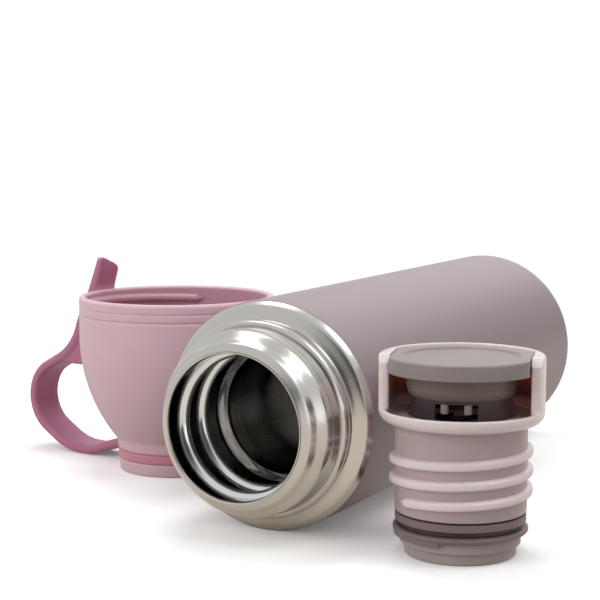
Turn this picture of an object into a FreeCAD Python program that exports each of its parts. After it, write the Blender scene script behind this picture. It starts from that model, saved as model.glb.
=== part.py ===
import FreeCAD, Part
import math
import os
import Sketcher

# Baby's vacuum flask shown taken apart: the bottle lies on its side, the cup lid stands
# behind it and the push-button stopper stands beside its mouth. Lengths are in millimetres.
# Each piece is drawn upright about its own Z axis and then laid out on the floor.

driving_sizes = {
    # bottle, measured along its axis from the lip
    "bottle_length": 209.0,
    "shell_radius": 35.0,
    "steel_wall": 0.6,
    "shoulder_depth": 22.4,
    "base_round": 2.0,
    "base_ledge": 3.0,
    "plate_wall": 0.8,
    "plate_hat_radius": 7.0,
    "plate_hat_rise": 1.6,
    "pump_hole_radius": 1.5,
    "plug_radius": 4.5,
    "base_cover_wall": 0.4,
    "getter_radius": 5.0,
    "getter_height": 1.6,
    # mouth and liner
    "mouth_radius": 21.6,
    "lip_flare": 0.2,
    "lip_round": 0.5,
    "seat_start": 29.3,
    "seat_cone": 2.7,
    "seat_radius": 19.3,
    "seat_length": 6.0,
    "liner_flare": 12.0,
    "vacuum_gap": 2.0,
    "vessel_end": 16.0,
    "vessel_dish": 7.0,
    "vessel_floor_radius": 22.0,
    "foil_wall": 0.3,
    "foil_margin": 6.0,
    # outside of the bare neck
    "lip_crest_depth": 4.0,
    "lip_crest_radius": 24.8,
    "barrel_end_depth": 9.3,
    "barrel_end_radius": 27.9,
    "barrel_bulge": 9.0,
    "neck_step": 0.6,
    "neck_radius": 28.4,
    "shoulder_start_depth": 19.6,
    "shoulder_start_radius": 30.4,
    "shoulder_bulge": 0.854,
    "paint_step": 0.25,
    "neck_bead_depth": 15.4,
    "neck_bead_radius": 1.7,
    "neck_bead_turn": -150.0,
    "cup_thread_pitch": 4.5,
    # screw beads inside the mouth
    "stopper_pitch": 5.6,
    "mouth_bead_depth": 9.0,
    "mouth_bead_radius": 1.7,
    "mouth_bead_skip": 2.0,
    "mouth_bead_turn": 5.0,
    "bead_turns": 0.97,
    # stopper body
    "body_radius": 18.9,
    "body_wall": 2.5,
    "body_foot": 12.7,
    "collar_foot": 38.0,
    "thread_radius": 1.6,
    "thread_start": 16.6,
    "thread_start_turn": -142.0,
    "thread_turns": 2.6,
    # pour collar
    "collar_radius": 23.7,
    "collar_wall": 1.5,
    "collar_top": 57.6,
    "collar_round": 3.5,
    "collar_floor": 2.4,
    "sill_height": 4.1,
    "post_gap": 20.0,
    "post_front": 6.6,
    "post_round": 0.8,
    # push button, which moves with its plunger and valve
    "button_top": 57.1,
    "button_wall": 4.6,
    "button_gap": 0.5,
    "button_edge": 0.7,
    "dish_radius": 17.0,
    "dish_depth": 0.6,
    "boss_radius": 15.7,
    "boss_drop": 7.4,
    "boss_round": 3.5,
    "spring_bore": 9.3,
    "spring_bore_top": 1.5,
    "stem_radius": 2.5,
    "stem_socket": 4.0,
    "sleeve_radius": 14.6,
    "sleeve_wall": 1.4,
    "sleeve_socket": 4.0,
    "sleeve_end": 30.0,
    "sleeve_slot": 12.0,
    "sleeve_clearance": 0.3,
    "pin_radius": 1.15,
    "pin_spacing": 6.5,
    "pin_circle": 13.5,
    "pin_drop": 2.9,
    "pin_tip": 0.6,
    "press_travel": 4.0,
    # valve in the stopper's foot
    "guide_top": 24.5,
    "guide_wall": 2.5,
    "guide_hub_radius": 5.0,
    "guide_hub_drop": 2.0,
    "guide_hub_rise": 1.5,
    "guide_hole_radius": 3.0,
    "guide_hole_circle": 12.0,
    "guide_hole_count": 6,
    "stem_clearance": 0.05,
    "cap_wall": 2.1,
    "cap_foot_radius": 16.1,
    "cap_foot_height": 3.2,
    "cap_step_radius": 17.3,
    "cap_step_height": 6.6,
    "cap_slope": 0.4,
    "cap_edge": 0.5,
    "chamber_radius": 14.0,
    "seat_height": 8.6,
    "seat_wall": 2.0,
    "seat_hole": 8.2,
    "packing_inner": 15.7,
    "packing_gap": 0.5,
    "packing_ring_radius": 18.8,
    "packing_ring_foot": 10.0,
    "packing_groove_radius": 17.6,
    "packing_groove_foot": 8.8,
    "packing_lip_radius": 19.4,
    "packing_lip_edge": 0.7,
    "packing_tab_drop": 0.9,
    "packing_tab_radius": 19.1,
    "packing_tab_turn": 130.0,
    "packing_tab_sweep": 128.0,
    "valve_gap": 0.1,
    "valve_seal_inner": 8.8,
    "valve_seal_outer": 12.2,
    "valve_seal_wall": 1.2,
    "valve_disc_radius": 12.6,
    "valve_disc_wall": 2.8,
    "valve_disc_floor": 1.0,
    # return spring
    "spring_radius": 7.2,
    "wire_radius": 0.6,
    "spring_turns": 8,
    "spring_gap": 0.2,
    # cup lid
    "bowl_radius": 34.6,
    "cup_height": 62.0,
    "bowl_turn_height": 47.6,
    "bowl_foot_radius": 22.0,
    "bowl_foot_height": 11.6,
    "bowl_neck_radius": 21.3,
    "bowl_wall": 2.6,
    "bowl_floor": 2.8,
    "rim_round": 1.0,
    "rim_line_drop": 3.5,
    "rim_line_depth": 0.3,
    "rim_line_width": 0.9,
    "rim_groove_drop": 6.4,
    "rim_groove_depth": 0.5,
    "rim_groove_width": 1.2,
    "cup_thread_radius": 1.5,
    "cup_thread_inset": 0.5,
    "cup_thread_drop": 4.6,
    "cup_thread_turn": 294.0,
    "cup_thread_turns": 0.55,
    "foot_height": 4.4,
    "foot_radius": 21.2,
    "foot_taper": 0.6,
    "foot_round": 0.8,
    "foot_stem_radius": 15.9,
    # cup handle, a strap with a collar under the bowl
    "strap_width": 12.8,
    "strap_wall": 3.4,
    "strap_edge": 1.1,
    "strap_floor_gap": 0.05,
    "strap_root_out": 4.3,
    "strap_root_bend": 8.0,
    "strap_sag_near": 17.3,
    "strap_sag_near_bend": 20.0,
    "strap_sag_far": 29.3,
    "strap_sag_far_bend": 25.0,
    "loop_out": 48.2,
    "loop_height": 20.4,
    "loop_bend": 13.4,
    "elbow_out": 12.0,
    "elbow_height": 39.4,
    "elbow_bend": 22.0,
    "web_out": 24.5,
    "web_height": 33.4,
    "tab_in": 1.3,
    "tab_height": 12.8,
    "tab_gap": 0.4,
    "tab_taper": 8.0,
    "tab_slant": 18.0,
    # how the three groups lie on the floor
    "cup_gap": 2.4,
    "cup_along": 88.2,
    "cup_turn": 170.0,
    "stopper_gap": 1.8,
    "stopper_along": 26.05,
    "stopper_turn": 15.0,
    # fits
    "fit_gap": 0.1,
    "weld_gap": 0.05,
}

doc = FreeCAD.newDocument("flask")
sheet = doc.addObject("Spreadsheet::Sheet", "Sizes")
for row, (alias, number) in enumerate(driving_sizes.items(), 1):
    sheet.set(f"A{row}", alias)
    sheet.set(f"B{row}", str(number))
    sheet.setAlias(f"B{row}", alias)
doc.recompute()


class Dim:
    """A number together with the sheet formula that it comes from."""

    def __init__(self, value, text=None):
        self.value = float(value)
        self.text = text or repr(float(value))

    def join(self, other, mark, value):
        return Dim(value, f"({self.text} {mark} {other.text})")

    def __add__(self, other):
        other = as_dim(other)
        return self.join(other, "+", self.value + other.value)

    def __sub__(self, other):
        other = as_dim(other)
        return self.join(other, "-", self.value - other.value)

    def __mul__(self, other):
        other = as_dim(other)
        return self.join(other, "*", self.value * other.value)

    def __truediv__(self, other):
        other = as_dim(other)
        return self.join(other, "/", self.value / other.value)

    def __neg__(self):
        return Dim(-self.value, f"(0 - {self.text})")

    __radd__ = __add__
    __rmul__ = __mul__


def as_dim(number):
    return number if isinstance(number, Dim) else Dim(number)


def root(number):
    return Dim(math.sqrt(number.value), f"sqrt({number.text})")


class Sizes:
    """Each driving size by name, as a Dim that is bound to its cell."""

    def __getattr__(self, alias):
        return Dim(sheet.getPropertyByName(alias), f"Sizes.{alias}")


size = Sizes()
zero = Dim(0.0, "0")


def origin_feature(body, role):
    return next(feature for feature in body.Origin.OriginFeatures if feature.Role == role)


def new_sketch(body, name, plane, lift=zero):
    sketch = body.newObject("Sketcher::SketchObject", name)
    sketch.AttachmentSupport = (origin_feature(body, plane), [""])
    sketch.MapMode = "FlatFace"
    if lift.text != "0":
        sketch.AttachmentOffset = FreeCAD.Placement(
            FreeCAD.Vector(0, 0, lift.value), FreeCAD.Rotation())
        sketch.setExpression("AttachmentOffset.Base.z", lift.text)
    return sketch


def pin_point(sketch, geometry, end, across, along):
    """Fixes one sketch point at its two coordinates."""
    for kind, axis, dim in (("DistanceX", -2, across), ("DistanceY", -1, along)):
        if dim.value == 0.0:
            sketch.addConstraint(Sketcher.Constraint("PointOnObject", geometry, end, axis))
            continue
        index = sketch.addConstraint(
            Sketcher.Constraint(kind, -1, 1, geometry, end, dim.value))
        sketch.setExpression(f"Constraints[{index}]", dim.text)


def arc_middle(start, end, radius, turn):
    """Middle of the arc from start to end; turn is 1 for anticlockwise and -1 for clockwise."""
    chord = end - start
    half = chord.Length / 2
    sagitta = radius - math.sqrt(max(radius ** 2 - half ** 2, 0.0))
    outward = FreeCAD.Vector(chord.y, -chord.x, 0).normalize()
    return (start + end) * 0.5 + outward * (sagitta * turn)


def add_outline(sketch, corners):
    """Closed outline. A corner is (across, along), or (across, along, radius, turn) where an
    arc of that radius leaves it."""
    corners = [tuple(as_dim(part) for part in corner) for corner in corners]
    points = [FreeCAD.Vector(corner[0].value, corner[1].value, 0) for corner in corners]
    first = sketch.GeometryCount
    count = len(corners)
    ends = []
    for index, corner in enumerate(corners):
        start = points[index]
        finish = points[(index + 1) % count]
        if len(corner) == 2:
            sketch.addGeometry(Part.LineSegment(start, finish))
            ends.append((1, 2))
            continue
        turn = corner[3].value
        middle = arc_middle(start, finish, corner[2].value, turn)
        if turn > 0:
            sketch.addGeometry(Part.Arc(start, middle, finish))
            ends.append((1, 2))
        else:
            sketch.addGeometry(Part.Arc(finish, middle, start))
            ends.append((2, 1))
    for index, corner in enumerate(corners):
        following = (index + 1) % count
        sketch.addConstraint(Sketcher.Constraint(
            "Coincident", first + index, ends[index][1], first + following, ends[following][0]))
        pin_point(sketch, first + index, ends[index][0], corner[0], corner[1])
        if len(corner) == 4:
            number = sketch.addConstraint(
                Sketcher.Constraint("Radius", first + index, corner[2].value))
            sketch.setExpression(f"Constraints[{number}]", corner[2].text)


def add_circle(sketch, across, along, radius):
    number = sketch.addGeometry(
        Part.Circle(FreeCAD.Vector(across.value, along.value, 0), FreeCAD.Vector(0, 0, 1), radius.value))
    pin_point(sketch, number, 3, across, along)
    index = sketch.addConstraint(Sketcher.Constraint("Radius", number, radius.value))
    sketch.setExpression(f"Constraints[{index}]", radius.text)


def rectangle(left, right, near, far):
    return [(left, near), (right, near), (right, far), (left, far)]


def new_body(name):
    return doc.addObject("PartDesign::Body", name)


def turned(name, corners):
    """A body of revolution about its Z axis from a half section of (radius, height) corners."""
    body = new_body(name)
    sketch = new_sketch(body, name + "_section", "XZ_Plane")
    add_outline(sketch, corners)
    revolution = body.newObject("PartDesign::Revolution", name + "_turned")
    revolution.Profile = sketch
    revolution.ReferenceAxis = (sketch, ["V_Axis"])
    revolution.Angle = 360.0
    doc.recompute()
    return body


def cut_upwards(body, name, outlines, start, length):
    """Cuts the outlines from the height start upwards."""
    before = body.Shape.Volume
    sketch = new_sketch(body, name + "_outline", "XY_Plane", start)
    for corners in outlines:
        add_outline(sketch, corners)
    pocket = body.newObject("PartDesign::Pocket", name)
    pocket.Profile = sketch
    pocket.Reversed = True
    pocket.setExpression("Length", length.text)
    doc.recompute()
    if body.Shape.Volume >= before:
        raise ValueError(name + " cut nothing")


def round_edges(body, name, chosen, radius):
    """Rounds the edges of the body that the test picks."""
    tip = body.Tip
    names = [f"Edge{index}" for index, edge in enumerate(tip.Shape.Edges, 1) if chosen(edge)]
    fillet = body.newObject("PartDesign::Fillet", name)
    fillet.Base = (tip, names)
    fillet.setExpression("Radius", radius.text)
    doc.recompute()


def biarc(start, start_way, end, end_way):
    """Two arcs that leave start along start_way and reach end along end_way."""
    span = end - start
    ways = start_way + end_way
    spread = 2 * (1 - start_way.dot(end_way))
    along = span.dot(ways)
    reach = (-along + math.sqrt(along ** 2 + spread * span.dot(span))) / spread
    first_knee = start + start_way * reach
    last_knee = end - end_way * reach
    joint = (first_knee + last_knee) * 0.5
    return [knee_arc(start, first_knee, joint), knee_arc(joint, last_knee, end)]


def knee_arc(start, knee, end):
    """The arc that is tangent to start-knee and to knee-end."""
    middle = (start + end) * 0.5
    half = (end - start).Length / 2
    reach = (knee - start).Length
    sagitta = half * math.tan(math.acos(half / reach) / 2)
    return Part.Arc(start, middle + (knee - middle).normalize() * sagitta, end)


def winding(radius, pitch, turns, start_turn, start_height, wire):
    """A round bar of radius wire wound as a right-hand helix, with round ends."""
    steps = max(2, math.ceil(turns * 4))
    rise = pitch / (2 * math.pi)

    def point(step):
        angle = math.radians(start_turn) + 2 * math.pi * turns * step / steps
        height = start_height + pitch * turns * step / steps
        return FreeCAD.Vector(radius * math.cos(angle), radius * math.sin(angle), height)

    def way(step):
        angle = math.radians(start_turn) + 2 * math.pi * turns * step / steps
        return FreeCAD.Vector(-radius * math.sin(angle), radius * math.cos(angle), rise).normalize()

    arcs = []
    for step in range(steps):
        arcs += biarc(point(step), way(step), point(step + 1), way(step + 1))
    path = Part.Wire([arc.toShape() for arc in arcs])
    section = Part.Wire(Part.makeCircle(wire, point(0), way(0)))
    bar = path.makePipeShell([section], True, False)
    balls = [Part.makeSphere(wire, point(end)) for end in (0, steps)]
    return bar, balls


def wound_feature(name, radius, pitch, turns, start_turn, start_height, wire, round_ends=True):
    bar, balls = winding(radius, pitch, turns, start_turn, start_height, wire)
    feature = doc.addObject("Part::Feature", name)
    feature.Shape = bar.multiFuse(balls) if round_ends else bar
    return feature


def joined(name, base, *tools):
    """One solid from a base and what stands on it."""
    for number, tool in enumerate(tools, 1):
        fuse = doc.addObject("Part::Fuse", f"{name}_{number}")
        fuse.Base = base
        fuse.Tool = tool
        base = fuse
    doc.recompute()
    return base


nodes = {}


def keep(group, label, feature):
    """Names a finished piece and the group that it is laid out with."""
    feature.Label = label
    nodes[label] = (feature, group)


# bottle: liner, shell and what closes their ends


def build_neck_collar():
    top = size.bottle_length
    wall = size.steel_wall
    shoulder = top - size.shoulder_depth
    rim = size.mouth_radius + size.lip_flare + size.lip_round
    step_depth = size.barrel_end_depth + size.neck_step
    across = size.shell_radius - size.shoulder_start_radius
    down = size.shoulder_depth - size.shoulder_start_depth
    bulge = root(across * across + down * down) * size.shoulder_bulge
    corners = [
        (rim, top - wall),
        (rim, top, size.barrel_bulge, -1),
        (size.lip_crest_radius, top - size.lip_crest_depth),
        (size.barrel_end_radius, top - size.barrel_end_depth),
        (size.barrel_end_radius - size.neck_step, top - step_depth),
        (size.neck_radius, top - size.neck_bead_depth),
        (size.neck_radius, top - size.shoulder_start_depth + wall),
        (size.shoulder_start_radius, top - size.shoulder_start_depth, bulge, -1),
        (size.shell_radius - size.paint_step, shoulder),
        (size.shell_radius - wall, shoulder, bulge - wall, 1),
        (size.shoulder_start_radius - wall, top - size.shoulder_start_depth - wall),
        (size.neck_radius - wall, top - size.shoulder_start_depth),
        (size.neck_radius - wall, top - size.neck_bead_depth),
        (size.barrel_end_radius - size.neck_step - wall, top - step_depth),
        (size.barrel_end_radius - wall, top - size.barrel_end_depth),
        (size.lip_crest_radius - wall, top - size.lip_crest_depth),
    ]
    neck = turned("neck_profile", corners)
    start = size.bottle_length - size.neck_bead_depth - size.cup_thread_pitch / 2
    bead = wound_feature(
        "neck_bead", size.neck_radius.value, size.cup_thread_pitch.value, size.bead_turns.value,
        size.neck_bead_turn.value, start.value, size.neck_bead_radius.value)
    keep("bottle", "neck_collar", joined("neck_collar", neck, bead))


def build_inner_vessel():
    top = size.bottle_length
    wall = size.steel_wall
    lip = size.mouth_radius + size.lip_flare
    rim = lip + size.lip_round - size.weld_gap
    seat = top - size.seat_start
    bore = seat - size.seat_cone
    bore_end = bore - size.seat_length
    body_start = bore_end - size.liner_flare
    body = size.shell_radius - wall - size.vacuum_gap
    corners = [
        (lip, top - size.lip_round, size.lip_round, -1),
        (rim, top),
        (rim, top - size.lip_round - wall),
        (size.mouth_radius + wall, top - size.lip_round - wall * 3),
        (size.mouth_radius + wall, seat - wall),
        (size.seat_radius + wall, bore - wall),
        (size.seat_radius + wall, bore_end),
        (body, body_start),
        (body, size.vessel_end),
        (body - wall, size.vessel_end),
        (body - wall, body_start - wall),
        (size.seat_radius, bore_end - wall),
        (size.seat_radius, bore),
        (size.mouth_radius, seat),
        (size.mouth_radius, top - size.lip_round * 3),
    ]
    liner = turned("liner_profile", corners)
    beads = []
    for number, skip in enumerate((zero, size.mouth_bead_skip)):
        middle = top - size.mouth_bead_depth - skip * size.stopper_pitch
        start = middle - size.stopper_pitch * size.bead_turns / 2
        beads.append(wound_feature(
            f"mouth_bead_{number}", size.mouth_radius.value, size.stopper_pitch.value,
            size.bead_turns.value, size.mouth_bead_turn.value, start.value,
            size.mouth_bead_radius.value))
    keep("bottle", "inner_vessel", joined("inner_vessel", liner, *beads))


def build_vessel_bottom():
    wall = size.steel_wall
    outer = size.shell_radius - wall - size.vacuum_gap
    floor = size.vessel_end - size.vessel_dish
    corners = [
        (outer - wall, size.vessel_end),
        (outer, size.vessel_end),
        (size.vessel_floor_radius + wall, floor - wall),
        (zero, floor - wall),
        (zero, floor),
        (size.vessel_floor_radius, floor),
    ]
    keep("bottle", "vessel_bottom", turned("vessel_bottom", corners))


def build_outer_shell():
    wall = size.steel_wall
    outer = size.shell_radius
    flat = outer - size.base_round
    shoulder = size.bottle_length - size.shoulder_depth
    corners = [
        (outer, shoulder),
        (outer, size.base_round, size.base_round, -1),
        (flat, zero),
        (flat - size.base_ledge, zero),
        (flat - size.base_ledge, wall),
        (flat, wall, size.base_round - wall, 1),
        (outer - wall, size.base_round),
        (outer - wall, shoulder),
    ]
    keep("bottle", "outer_shell", turned("outer_shell", corners))


def build_shell_bottom():
    base = size.steel_wall
    top = base + size.plate_wall
    edge = size.shell_radius - size.base_round - size.fit_gap
    hat = size.plate_hat_radius
    corners = [
        (edge, base),
        (edge, top),
        (hat + size.plate_wall, top),
        (hat, top + size.plate_hat_rise),
        (size.pump_hole_radius, top + size.plate_hat_rise),
        (size.pump_hole_radius, base + size.plate_hat_rise),
        (hat - size.plate_wall, base + size.plate_hat_rise),
        (hat, base),
    ]
    keep("bottle", "shell_bottom", turned("shell_bottom", corners))


def build_seal_plug():
    base = size.steel_wall
    seat = base + size.plate_hat_rise
    nipple = size.pump_hole_radius - size.weld_gap
    corners = [
        (zero, base + size.fit_gap),
        (size.plug_radius, base + size.fit_gap),
        (size.plug_radius, seat),
        (nipple, seat),
        (nipple, seat + size.plate_wall),
        (zero, seat + size.plate_wall),
    ]
    keep("bottle", "seal_plug", turned("seal_plug", corners))


def build_base_cover():
    edge = size.shell_radius - size.base_round - size.base_ledge - size.fit_gap
    top = size.steel_wall
    corners = [(zero, top - size.base_cover_wall), (edge, top - size.base_cover_wall), (edge, top), (zero, top)]
    keep("bottle", "base_cover", turned("base_cover", corners))


def build_getter_cup():
    cup = doc.addObject("Part::Cylinder", "getter_cup")
    cup.setExpression("Radius", size.getter_radius.text)
    cup.setExpression("Height", size.getter_height.text)
    keep("bottle", "getter_cup", cup)
    halfway = (size.shell_radius - size.base_ledge) / 2
    lifts["getter_cup"] = FreeCAD.Vector(
        halfway.value, 0, (size.steel_wall + size.plate_wall).value)


def build_reflective_foil():
    inner = size.shell_radius - size.steel_wall - size.vacuum_gap + size.fit_gap
    start = size.vessel_end + size.foil_margin
    seat = size.seat_start + size.seat_cone + size.seat_length + size.liner_flare
    end = size.bottle_length - seat - size.foil_margin
    outer = inner + size.foil_wall
    corners = [(inner, start), (outer, start), (outer, end), (inner, end)]
    keep("bottle", "reflective_foil", turned("reflective_foil", corners))


# stopper: barrel, pour collar and the fixed pieces of the valve


def build_stopper_body():
    inner = size.body_radius - size.body_wall
    corners = rectangle(inner, size.body_radius, size.body_foot, size.collar_foot)
    barrel = turned("barrel_profile", corners)
    thread = wound_feature(
        "stopper_thread", size.body_radius.value, size.stopper_pitch.value, size.thread_turns.value,
        size.thread_start_turn.value, size.thread_start.value, size.thread_radius.value)
    keep("stopper", "stopper_body", joined("stopper_body", barrel, thread))


def build_pour_collar():
    outer = size.collar_radius
    inner = outer - size.collar_wall
    floor = size.collar_foot + size.collar_floor
    top = size.collar_top
    hole = size.sleeve_radius + size.sleeve_clearance
    spigot = size.body_radius - size.body_wall - size.fit_gap
    corners = [
        (hole, size.guide_top),
        (spigot, size.guide_top),
        (spigot, size.collar_foot),
        (outer - size.collar_round, size.collar_foot, size.collar_round, 1),
        (outer, size.collar_foot + size.collar_round),
        (outer, top),
        (inner, top),
        (inner, floor),
        (hole, floor),
    ]
    body = turned("pour_collar", corners)

    # the posts fill the ring between the flats that the button slides along
    overlap = size.collar_wall / 2
    reach = inner + overlap
    half = root(reach * reach - size.post_gap * size.post_gap)
    posts = new_sketch(body, "post_outline", "XY_Plane", floor)
    add_outline(posts, [(size.post_gap, -half, reach, 1), (size.post_gap, half)])
    add_outline(posts, [(-size.post_gap, half, reach, 1), (-size.post_gap, -half)])
    pad = body.newObject("PartDesign::Pad", "posts")
    pad.Profile = posts
    pad.setExpression("Length", (top - floor).text)
    doc.recompute()

    sill = size.collar_foot + size.sill_height
    beyond = outer + size.collar_wall
    front = rectangle(-beyond, beyond, -beyond, -size.post_front)
    cut_upwards(body, "pour_window", [front], sill, top - sill + size.collar_wall)

    def outer_edge(edge):
        """The top rim and the outer front corners and brows of the posts."""
        box = edge.BoundBox
        at_top = abs(box.ZMin - top.value) < 0.01
        on_rim = isinstance(edge.Curve, Part.Circle) and abs(edge.Curve.Radius - outer.value) < 0.01
        in_front = box.YLength < 0.01 and abs(box.YMin + size.post_front.value) < 0.01
        corner = box.XLength < 0.01 and abs(box.XMin) > size.post_gap.value + 0.5
        return (at_top and (on_rim or in_front)) or (in_front and corner)

    round_edges(body, "post_edges", outer_edge, size.post_round)
    keep("stopper", "pour_collar", body)


def build_stem_guide():
    bore = size.stem_radius + size.stem_clearance
    outer = size.body_radius - size.body_wall - size.fit_gap
    plate = size.guide_top - size.guide_wall
    hub = size.guide_hub_radius
    corners = [
        (bore, plate - size.guide_hub_drop),
        (hub, plate - size.guide_hub_drop),
        (hub, plate),
        (outer, plate),
        (outer, size.guide_top),
        (hub, size.guide_top),
        (hub, size.guide_top + size.guide_hub_rise),
        (bore, size.guide_top + size.guide_hub_rise),
    ]
    body = turned("stem_guide", corners)
    hole = new_sketch(body, "flow_hole_outline", "XY_Plane", plate)
    add_circle(hole, size.guide_hole_circle, zero, size.guide_hole_radius)
    pocket = body.newObject("PartDesign::Pocket", "flow_hole")
    pocket.Profile = hole
    pocket.Reversed = True
    pocket.setExpression("Length", size.guide_wall.text)
    doc.recompute()
    holes = body.newObject("PartDesign::PolarPattern", "flow_holes")
    holes.Originals = [pocket]
    holes.Axis = (origin_feature(body, "Z_Axis"), [""])
    holes.Angle = 360.0
    holes.setExpression("Occurrences", size.guide_hole_count.text)
    body.Tip = holes
    doc.recompute()
    keep("stopper", "stem_guide", body)


def build_valve_cap():
    sleeve = size.body_radius - size.body_wall - size.fit_gap
    groove = size.packing_inner - size.fit_gap
    groove_top = size.body_foot - size.packing_gap + size.fit_gap
    sleeve_top = size.guide_top - size.guide_wall
    seat_top = size.seat_height + size.seat_wall
    foot = size.cap_foot_radius
    corners = [
        (size.chamber_radius, zero),
        (foot - size.cap_edge, zero),
        (foot, size.cap_edge),
        (foot, size.cap_foot_height),
        (size.cap_step_radius, size.cap_foot_height + size.cap_slope),
        (size.cap_step_radius, size.cap_step_height),
        (groove, size.cap_step_height),
        (groove, groove_top),
        (sleeve, groove_top),
        (sleeve, sleeve_top),
        (sleeve - size.cap_wall, sleeve_top),
        (sleeve - size.cap_wall, seat_top),
        (size.seat_hole, seat_top),
        (size.seat_hole, size.seat_height),
        (size.chamber_radius, size.seat_height),
    ]
    keep("stopper", "valve_cap", turned("valve_cap", corners))


def build_packing_ring():
    inner = size.packing_inner
    foot = size.cap_step_height
    lip = size.packing_lip_radius
    edge = size.packing_lip_edge
    top = size.body_foot - size.packing_gap
    corners = [
        (inner, foot),
        (lip - edge, foot),
        (lip, foot + edge),
        (lip, size.packing_groove_foot - edge),
        (size.packing_groove_radius, size.packing_groove_foot),
        (size.packing_groove_radius, size.packing_ring_foot),
        (size.packing_ring_radius, size.packing_ring_foot),
        (size.packing_ring_radius, top),
        (inner, top),
    ]
    ring = turned("packing_profile", corners)
    tab_inner = size.cap_step_radius + size.fit_gap
    drop = size.packing_tab_drop
    cylinders = []
    for name, radius in (("tab_outer", size.packing_tab_radius), ("tab_inner", tab_inner)):
        cylinder = doc.addObject("Part::Cylinder", name)
        cylinder.setExpression("Radius", radius.text)
        cylinder.setExpression("Height", (drop + edge).text)
        cylinders.append(cylinder)
    cylinders[0].setExpression("Angle", size.packing_tab_sweep.text)
    for cylinder in cylinders:
        turn = FreeCAD.Rotation(FreeCAD.Vector(0, 0, 1), size.packing_tab_turn.value)
        cylinder.Placement = FreeCAD.Placement(FreeCAD.Vector(0, 0, (foot - drop).value), turn)
    tab = doc.addObject("Part::Cut", "packing_tab")
    tab.Base, tab.Tool = cylinders
    keep("stopper", "packing_ring", joined("packing_ring", ring, tab))


def build_return_spring():
    wire = size.wire_radius
    foot = size.guide_top + wire + size.spring_gap
    ceiling = size.button_top - size.button_wall - size.spring_bore_top
    pitch = (ceiling - wire - size.spring_gap - foot) / size.spring_turns
    spring = wound_feature(
        "return_spring", size.spring_radius.value, pitch.value, size.spring_turns.value, 0.0,
        foot.value, wire.value, round_ends=False)
    gap = pitch.value - 2 * wire.value
    print(f"return spring: least gap between turns {gap:.2f} mm")
    keep("stopper", "return_spring", spring)


# button: what moves down together when it is pressed


def build_push_button():
    top = size.button_top
    under = top - size.button_wall
    disc = size.collar_radius - size.collar_wall - size.button_gap
    edge = size.button_edge
    boss = size.boss_radius
    boss_foot = under - size.boss_drop
    bend = size.boss_round
    socket_outer = size.sleeve_radius + size.fit_gap
    socket_inner = size.sleeve_radius - size.sleeve_wall - size.fit_gap
    socket_top = boss_foot + size.sleeve_socket + size.fit_gap
    ceiling = under - size.spring_bore_top
    stem_hole = size.stem_radius + size.stem_clearance

    def boss_underside(radius):
        across = radius - boss + bend
        return boss_foot + bend - root(bend * bend - across * across)

    corners = [
        (zero, top - size.dish_depth),
        (zero, ceiling + size.stem_socket),
        (stem_hole, ceiling + size.stem_socket),
        (stem_hole, ceiling),
        (size.spring_bore, ceiling),
        (size.spring_bore, boss_foot),
        (boss - bend, boss_foot, bend, 1),
        (socket_inner, boss_underside(socket_inner)),
        (socket_inner, socket_top),
        (socket_outer, socket_top),
        (socket_outer, boss_underside(socket_outer), bend, 1),
        (boss, boss_foot + bend),
        (boss, under),
        (disc, under),
        (disc, top - edge, edge, 1),
        (disc - edge, top),
        (size.dish_radius, top),
        (size.dish_radius - size.dish_depth, top - size.dish_depth),
    ]
    body = turned("push_button", corners)
    flat = size.post_gap - size.sleeve_clearance
    sides = [rectangle(flat, disc + edge, -disc, disc), rectangle(-disc - edge, -flat, -disc, disc)]
    cut_upwards(body, "button_flats", sides, under - edge, size.button_wall + edge * 2)
    keep("button", "push_button", body)


def build_plunger_sleeve():
    inner = size.sleeve_radius - size.sleeve_wall
    boss_foot = size.button_top - size.button_wall - size.boss_drop
    corners = rectangle(inner, size.sleeve_radius, size.sleeve_end, boss_foot + size.sleeve_socket)
    body = turned("plunger_sleeve", corners)
    half = size.sleeve_slot / 2
    near = size.sleeve_radius + size.sleeve_wall
    slot = rectangle(-half, half, -near, zero)
    cut_upwards(body, "sleeve_slot", [slot], size.sleeve_end, boss_foot - size.sleeve_end)
    keep("button", "plunger_sleeve", body)


def build_guide_pins():
    boss_foot = size.button_top - size.button_wall - size.boss_drop
    depth = root(size.pin_circle * size.pin_circle - size.pin_spacing * size.pin_spacing / 4)
    body = new_body("guide_pin")
    sketch = new_sketch(body, "guide_pin_section", "XZ_Plane")
    tip = size.pin_tip
    add_outline(sketch, [
        (zero, boss_foot - size.pin_drop),
        (size.pin_radius - tip, boss_foot - size.pin_drop, tip, 1),
        (size.pin_radius, boss_foot - size.pin_drop + tip),
        (size.pin_radius, boss_foot),
        (zero, boss_foot),
    ])
    revolution = body.newObject("PartDesign::Revolution", "guide_pin_turned")
    revolution.Profile = sketch
    revolution.ReferenceAxis = (sketch, ["V_Axis"])
    revolution.Angle = 360.0
    doc.recompute()
    half = size.pin_spacing.value / 2
    places = [FreeCAD.Vector(side * half, -depth.value, 0) for side in (-1, 1)]
    pins = doc.addObject("Part::Feature", "guide_pins")
    pins.Shape = Part.makeCompound([body.Shape.translated(place) for place in places])
    keep("button", "guide_pins", pins)


def valve_seal_top():
    return size.seat_height - size.valve_gap


def valve_disc_top():
    return valve_seal_top() - size.valve_seal_wall


def build_valve_stem():
    foot = valve_disc_top() - size.valve_disc_wall + size.valve_disc_floor
    ceiling = size.button_top - size.button_wall - size.spring_bore_top + size.stem_socket
    stem = doc.addObject("Part::Cylinder", "valve_stem")
    stem.setExpression("Radius", size.stem_radius.text)
    stem.setExpression("Height", (ceiling - foot).text)
    keep("button", "valve_stem", stem)
    lifts["valve_stem"] = FreeCAD.Vector(0, 0, foot.value)


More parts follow.
